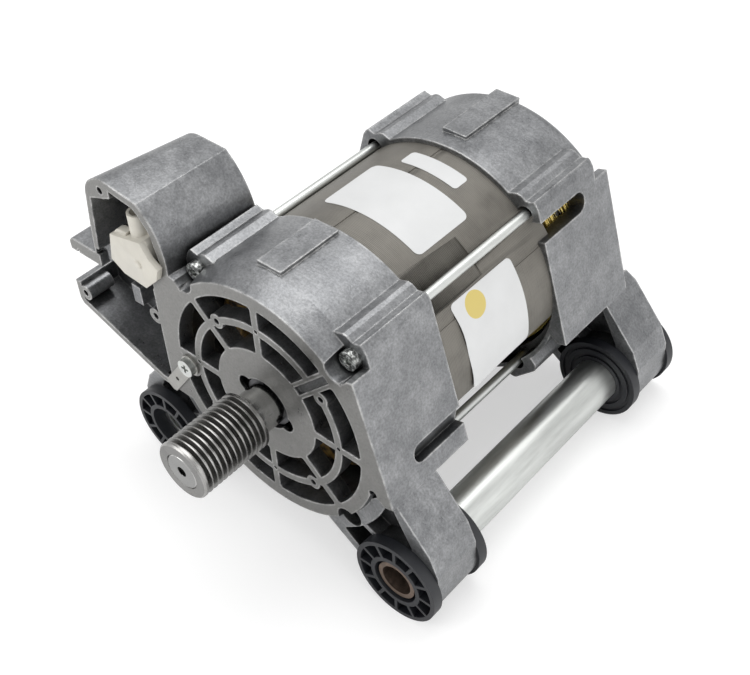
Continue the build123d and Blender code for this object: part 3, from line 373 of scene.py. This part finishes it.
slotMaterials = {
    "cast": makeCast(), "laminations": makeLaminations(), "winding": makeShadedWinding(), "label": makeLabel(),
    "cage": makeMetal("cageAluminium"), "turned": makeMetal("turnedSteel"),
    "pulley": makeMetal("pulleySteel"), "race": makeMetal("bearingSteel"),
    "spring": makeMetal("pressedSteel"), "zinc": makeMetal("zincPlate"),
    "sleeve": makeMetal("sinteredSleeve"), "terminals": makeMetal("terminalBrass"),
    "seal": makePlastic("sealRubber"), "bush": makePlastic("bushPlastic"),
    "nylon": makePlastic("whiteNylon"),
}
for entry in frame["record"]["subparts"]:
    mesh = nodes[entry["node"]].data
    mesh.materials.clear()
    mesh.materials.append(slotMaterials[entry["material_slot"]])
nodes["earth_tab"].data.materials[0] = makeMetal("dullZinc")
nodes["tie_rods"].data.materials[0] = makeMetal("rodZinc")
print("materials on the nodes")


# modelling

mergeWithin = 0.001


def selectOnly(piece):
    bpy.ops.object.select_all(action="DESELECT")
    piece.select_set(True)
    bpy.context.view_layer.objects.active = piece


def applyModifier(piece, name):
    selectOnly(piece)
    bpy.ops.object.modifier_apply(modifier=name)


def copyNode(nodeName, name):
    # a copy with its own mesh, its doubled points merged
    piece = nodes[nodeName].copy()
    piece.data = nodes[nodeName].data.copy()
    piece.name = name
    piece.parent = None
    piece.matrix_world = Matrix.Identity(4)
    bpy.context.scene.collection.objects.link(piece)
    piece.hide_render = False
    selectOnly(piece)
    bpy.ops.object.mode_set(mode="EDIT")
    bpy.ops.mesh.select_all(action="SELECT")
    bpy.ops.mesh.remove_doubles(threshold=mergeWithin * mm)
    bpy.ops.object.mode_set(mode="OBJECT")
    return piece


# the stack is cut flat beside each lower tie rod, which shows the right one whole
stackCut = {"angles": (-34.0, -146.0), "reach": 44.3, "smooth": 25}

stack = copyNode("stator_core", "laminatedStack")
bpy.ops.object.mode_set(mode="EDIT")
for angle in stackCut["angles"]:
    outward = Vector((math.cos(math.radians(angle)), 0, math.sin(math.radians(angle))))
    bpy.ops.mesh.select_all(action="SELECT")
    bpy.ops.mesh.bisect(plane_co=outward * stackCut["reach"] * mm, plane_no=outward, use_fill=True,
                        clear_outer=True)
bpy.ops.mesh.select_all(action="SELECT")
bpy.ops.mesh.normals_make_consistent(inside=False)
bpy.ops.object.mode_set(mode="OBJECT")
bpy.ops.object.shade_smooth_by_angle(angle=math.radians(stackCut["smooth"]))
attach(stack, "motor")
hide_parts("stator_core")
print("stack cut flat beside the lower rods")


# blank film labels with rounded corners, bent round the stack; angles go from the top to the right
labels = {
    "plateLabel": {"node": "upper_label", "angles": (-22.0, 30.0), "corner": 2.6, "lift": 0.0},
    "smallLabel": {"node": "small_label", "angles": (-12.0, 17.5), "corner": 1.6, "lift": 0.0},
    "sideLabel": {"node": "side_label", "angles": (52.5, 93.0), "corner": 2.2, "lift": 0.7},
}
labelFilm = {"radius": 51.53, "thickness": 0.13, "strips": 30, "rows": 12, "cornerSteps": 5, "smooth": 40}
loosening = {"front": 7, "waves": 11, "corner": 3, "cornerPower": 12}

for name, values in labels.items():
    low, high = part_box(values["node"])
    first, last = (math.radians(angle) for angle in values["angles"])
    width = (last - first) * labelFilm["radius"] * mm
    length = high[1] - low[1]
    bpy.ops.mesh.primitive_plane_add(size=1, location=(0, 0, 0))
    film = bpy.context.object
    film.name = name
    bpy.ops.object.mode_set(mode="EDIT")
    bpy.ops.transform.resize(value=(width, length, 1))
    bpy.ops.mesh.bevel(offset=values["corner"] * mm, segments=labelFilm["cornerSteps"], affect="VERTICES")
    for count, size, direction in ((labelFilm["strips"], width, Vector((1, 0, 0))),
                                   (labelFilm["rows"], length, Vector((0, 1, 0)))):
        for step in range(1, count):
            bpy.ops.mesh.select_all(action="SELECT")
            bpy.ops.mesh.bisect(plane_co=direction * (step / count - 0.5) * size, plane_no=direction)
    bpy.ops.object.mode_set(mode="OBJECT")
    for vertex in film.data.vertices:
        across, along = vertex.co.x / width + 0.5, vertex.co.y / length + 0.5
        turn = first + (last - first) * across
        # the film has come loose in waves along its front edge and at its lowest corner
        waves = 0.5 - 0.5 * math.cos(across * loosening["waves"])
        corner = math.exp(-along * loosening["corner"]) * across ** loosening["cornerPower"]
        loose = math.exp(-along * loosening["front"]) * waves + corner
        radius = (labelFilm["radius"] + values["lift"] * loose) * mm
        vertex.co = (radius * math.sin(turn), (low[1] + high[1]) / 2 + vertex.co.y, radius * math.cos(turn))
    wall = film.modifiers.new("wall", "SOLIDIFY")
    wall.thickness = labelFilm["thickness"] * mm
    wall.offset = 1
    applyModifier(film, "wall")
    bpy.ops.object.shade_smooth_by_angle(angle=math.radians(labelFilm["smooth"]))
    film.data.materials.append(slotMaterials["label"])
    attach(film, "motor")
    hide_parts(values["node"])
print("labels bent round the stack")


# strands of the rear end turns, seen through the slot of the rear shield; each leans its own way
endTurns = {
    "radii": (44.0, 45.0, 46.0, 46.9), "y": (155.5, 178.0), "count": 17, "stagger": 0.5, "wire": 0.48,
    "tilt": 2.6, "lean": (2.4, 1.7), "swing": (1.9, 2.3), "around": 96, "sides": 6,
    "low": (0.56, 0.40, 0.09), "high": (0.90, 0.74, 0.24), "glossHighlight": (500, 2, 0.5),
    "gap": (0.02, 0.018, 0.015), "shadeGaps": (170, 2, 0.5), "shadeGapsStretch": (1, 0.5, 1),
    "gapStops": [(0.32, 1.0), (0.38, 0.0)], "metallic": 0.3, "roughness": 0.3,
}


def makeEndTurns():
    # enamelled wires, with dark patches painted on them as shade between the strands
    material, tree, shader = newMaterial("enamelledWire")
    shadeGaps = noise(tree, objectCoords(tree, endTurns["shadeGapsStretch"]), endTurns["shadeGaps"])
    # brighter patches on the wires are a painted highlight
    glossHighlight = noise(tree, objectCoords(tree), endTurns["glossHighlight"])
    wire = spread(tree, glossHighlight, endTurns["low"], endTurns["high"])
    base = mixColors(tree, ramp(tree, shadeGaps, endTurns["gapStops"]), wire, endTurns["gap"])
    finishShader(tree, shader, base, endTurns["metallic"], endTurns["roughness"])
    return material


startY, endY = endTurns["y"]
strands = []
for layer, radius in enumerate(endTurns["radii"]):
    for number in range(endTurns["count"]):
        share = (number + endTurns["stagger"] * (layer % 2)) / endTurns["count"]
        place = startY + (endY - startY) * share
        perStrand, perLayer = endTurns["lean"]
        lean = math.radians(endTurns["tilt"] * math.sin(number * perStrand + layer * perLayer))
        perStrand, perLayer = endTurns["swing"]
        swing = math.radians(endTurns["tilt"] * math.cos(number * perStrand + layer * perLayer))
        bpy.ops.mesh.primitive_torus_add(
            location=(0, place * mm, 0), rotation=(math.pi / 2 + lean, 0, swing),
            major_radius=radius * mm, minor_radius=endTurns["wire"] * mm,
            major_segments=endTurns["around"], minor_segments=endTurns["sides"])
        strands.append(bpy.context.object)
selectOnly(strands[0])
for strand in strands:
    strand.select_set(True)
bpy.ops.object.join()
turns = bpy.context.object
turns.name = "rearEndTurns"
bpy.ops.object.transform_apply(location=True, rotation=True, scale=True)
bpy.ops.object.shade_smooth()
turns.data.materials.append(makeEndTurns())
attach(turns, "motor")
print("end turns wound")


# the white connector: its flange ends under the tube, which stands free, and it has an ear and a boss
connectorForm = {
    "flangeTop": (-66.1, 45.8), "flangeSlope": 12.4, "front": 38.0, "back": 56.0,
    "tube": (-59.6, 44.4), "outer": 3.66, "inner": 2.44, "tubeZ": (44.0, 56.56), "holeZ": 47.0, "sides": 48,
    "boss": (-56.8, 37.5), "bossRadius": 1.5, "bossHeight": 0.8, "bossSides": 32,
    "ear": ((-69.3, 43.8), (-67.9, 43.2), (-63.7, 45.6), (-62.6, 47.9), (-66.2, 47.9), (-68.4, 47.0),
            (-69.9, 45.2)),
    "earY": (40.2, 43.4), "round": 0.3, "roundSteps": 2, "roundFrom": 50, "smooth": 35,
}
# how far the cutting blocks and bores reach past the connector
cutReach = {"left": 12, "right": 38, "up": 30, "side": 20, "bore": 5}


def addBlock(low, high, slope=0.0):
    # a block between two corners, turned about its lower left edge
    size = Vector(high) - Vector(low)
    bpy.ops.mesh.primitive_cube_add(size=1, location=(0, 0, 0))
    block = bpy.context.object
    turned = Matrix.Rotation(-slope, 3, "Y")
    for vertex in block.data.vertices:
        corner = Vector([(place + 0.5) * length for place, length in zip(vertex.co, size)])
        vertex.co = (Vector(low) + turned @ corner) * mm
    return block


def addTube(radius, bottomZ, topZ):
    x, y = connectorForm["tube"]
    bpy.ops.mesh.primitive_cylinder_add(vertices=connectorForm["sides"], radius=radius * mm,
                                        depth=(topZ - bottomZ) * mm,
                                        location=(x * mm, y * mm, (bottomZ + topZ) / 2 * mm))
    return bpy.context.object


def combine(piece, tool, operation):
    cut = piece.modifiers.new("combine", "BOOLEAN")
    cut.operation = operation
    cut.object = tool
    applyModifier(piece, "combine")
    bpy.data.objects.remove(tool)


shell = copyNode("connector_housing", "connectorShell")

# the flange above the slope goes, and so does what stands left of the tube
slope = math.radians(connectorForm["flangeSlope"])
flangeX, flangeZ = connectorForm["flangeTop"]
tubeX, tubeY = connectorForm["tube"]
frontY, backY = connectorForm["front"], connectorForm["back"]
cornerX = flangeX - cutReach["left"] * math.cos(slope)
cornerZ = flangeZ - cutReach["left"] * math.sin(slope)
endX = cornerX + cutReach["left"] + cutReach["right"]
above = addBlock((cornerX, frontY, cornerZ), (endX, tubeY, cornerZ + cutReach["up"]), slope)
combine(shell, above, "DIFFERENCE")
tubeLeft = tubeX - connectorForm["outer"]
sideZ = flangeZ + (tubeLeft - flangeX) * math.tan(slope)
beside = addBlock((tubeLeft - cutReach["side"], frontY, sideZ),
                  (tubeLeft, backY, flangeZ + cutReach["side"]))
combine(shell, beside, "DIFFERENCE")

lowZ, highZ = connectorForm["tubeZ"]
boreZ = highZ + cutReach["bore"]
tube = addTube(connectorForm["outer"], lowZ, highZ)
combine(tube, addTube(connectorForm["inner"], connectorForm["holeZ"], boreZ), "DIFFERENCE")
combine(shell, addTube(connectorForm["inner"], connectorForm["holeZ"], boreZ), "DIFFERENCE")
combine(shell, tube, "UNION")

bossX, bossZ = connectorForm["boss"]
bpy.ops.mesh.primitive_cylinder_add(
    vertices=connectorForm["bossSides"], radius=connectorForm["bossRadius"] * mm,
    depth=2 * connectorForm["bossHeight"] * mm,
    location=(bossX * mm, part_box("connector_housing")[0].y, bossZ * mm), rotation=(math.pi / 2, 0, 0))
combine(shell, bpy.context.object, "UNION")

nearY, farY = connectorForm["earY"]
bpy.ops.mesh.primitive_circle_add(vertices=len(connectorForm["ear"]), radius=mm, fill_type="NGON")
ear = bpy.context.object
for vertex, (x, z) in zip(ear.data.vertices, connectorForm["ear"]):
    vertex.co = (x * mm, nearY * mm, z * mm)
bpy.ops.object.mode_set(mode="EDIT")
bpy.ops.mesh.select_all(action="SELECT")
bpy.ops.mesh.extrude_region_move(TRANSFORM_OT_translate={"value": (0, (farY - nearY) * mm, 0)})
bpy.ops.mesh.select_all(action="SELECT")
bpy.ops.mesh.normals_make_consistent(inside=False)
bpy.ops.object.mode_set(mode="OBJECT")
combine(shell, ear, "UNION")

edges = shell.modifiers.new("edges", "BEVEL")
edges.width = connectorForm["round"] * mm
edges.segments = connectorForm["roundSteps"]
edges.limit_method = "ANGLE"
edges.angle_limit = math.radians(connectorForm["roundFrom"])
applyModifier(shell, "edges")
bpy.ops.object.shade_smooth_by_angle(angle=math.radians(connectorForm["smooth"]))
shell.data.materials.clear()
shell.data.materials.append(slotMaterials["nylon"])
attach(shell, "motor")
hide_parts("connector_housing")
print("connector shaped:", len(shell.data.polygons), "faces")


# floor, backdrop and light

studio = {"floorZ": -70.05, "floorSize": 14.0, "floorColor": (0.93, 0.93, 0.93), "floorRoughness": 0.9,
          "floorGloss": 0.1, "glow": 0.4, "white": 1.25, "world": 0.75, "reflected": 0.9}

bpy.ops.mesh.primitive_plane_add(size=studio["floorSize"], location=(0, 0, studio["floorZ"] * mm))
floor = bpy.context.object
floor.name = "floor"
floorMaterial, tree, shader = newMaterial("paleFloor")
shader.inputs["Base Color"].default_value = (*studio["floorColor"], 1)
shader.inputs["Roughness"].default_value = studio["floorRoughness"]
shader.inputs["Specular IOR Level"].default_value = studio["floorGloss"]
floor.data.materials.append(floorMaterial)
# seen by the camera the floor is partly its own white, which keeps the shadow soft and pale
whiteFloor = addNode(tree, "ShaderNodeEmission")
whiteFloor.inputs["Strength"].default_value = studio["white"]
rays = addNode(tree, "ShaderNodeLightPath")
seen = math2(tree, "MULTIPLY", rays.outputs["Is Camera Ray"], studio["glow"])
blendFloor = addNode(tree, "ShaderNodeMixShader")
tree.links.new(seen, blendFloor.inputs["Fac"])
tree.links.new(shader.outputs["BSDF"], blendFloor.inputs[1])
tree.links.new(whiteFloor.outputs["Emission"], blendFloor.inputs[2])
tree.links.new(blendFloor.outputs["Shader"], tree.nodes["Material Output"].inputs["Surface"])

world = bpy.data.worlds.new("studioWorld")
bpy.context.scene.world = world
world.use_nodes = True
tree = world.node_tree
background = tree.nodes["Background"]
background.inputs["Color"].default_value = (1, 1, 1, 1)
rays = addNode(tree, "ShaderNodeLightPath")
seenWhite = math2(tree, "MAXIMUM", rays.outputs["Is Camera Ray"], studio["world"])
reflected = math2(tree, "MULTIPLY", rays.outputs["Is Glossy Ray"], studio["reflected"])
strength = math2(tree, "MAXIMUM", seenWhite, reflected)
tree.links.new(strength, background.inputs["Strength"])

lamps = {
    "topSoftbox": {"location": (-0.15, 0.35, 0.95), "size": (0.9, 0.7), "power": 5.0},
    "frontFill": {"location": (-0.5, -0.75, 0.55), "size": (0.6, 0.6), "power": 3.0},
    "sideFill": {"location": (0.95, 0.05, 0.30), "size": (0.5, 0.7), "power": 3.0},
}
lampTarget = Vector((0, 0.1, 0))

for name, values in lamps.items():
    lampData = bpy.data.lights.new(name, "AREA")
    lampData.shape = "RECTANGLE"
    lampData.size, lampData.size_y = values["size"]
    lampData.energy = values["power"]
    lamp = bpy.data.objects.new(name, lampData)
    bpy.context.scene.collection.objects.link(lamp)
    lamp.location = values["location"]
    lamp.rotation_euler = (lampTarget - lamp.location).to_track_quat("-Z", "Y").to_euler()
print("studio set")


# camera, from the fit of the photograph

cameraFit = {"location": (231.2, -149.4, 307.1), "right": (0.758, 0.651, -0.040),
             "ahead": (-0.496, 0.536, -0.683), "lens": 57.0, "sensor": 36.0, "clip": 0.01}

cameraData = bpy.data.cameras.new("photoCamera")
cameraData.lens = cameraFit["lens"]
cameraData.sensor_width = cameraFit["sensor"]
cameraData.clip_start = cameraFit["clip"]
camera = bpy.data.objects.new("photoCamera", cameraData)
bpy.context.scene.collection.objects.link(camera)
ahead = Vector(cameraFit["ahead"]).normalized()
# the fitted right squared up to the view
right = Vector(cameraFit["right"])
right = (right - ahead * right.dot(ahead)).normalized()
up = right.cross(ahead)
turn = Matrix((right, up, -ahead)).transposed().to_4x4()
camera.matrix_world = Matrix.Translation(Vector(cameraFit["location"]) * mm) @ turn
bpy.context.scene.camera = camera
bpy.context.scene.view_settings.view_transform = "Standard"
print("camera set")
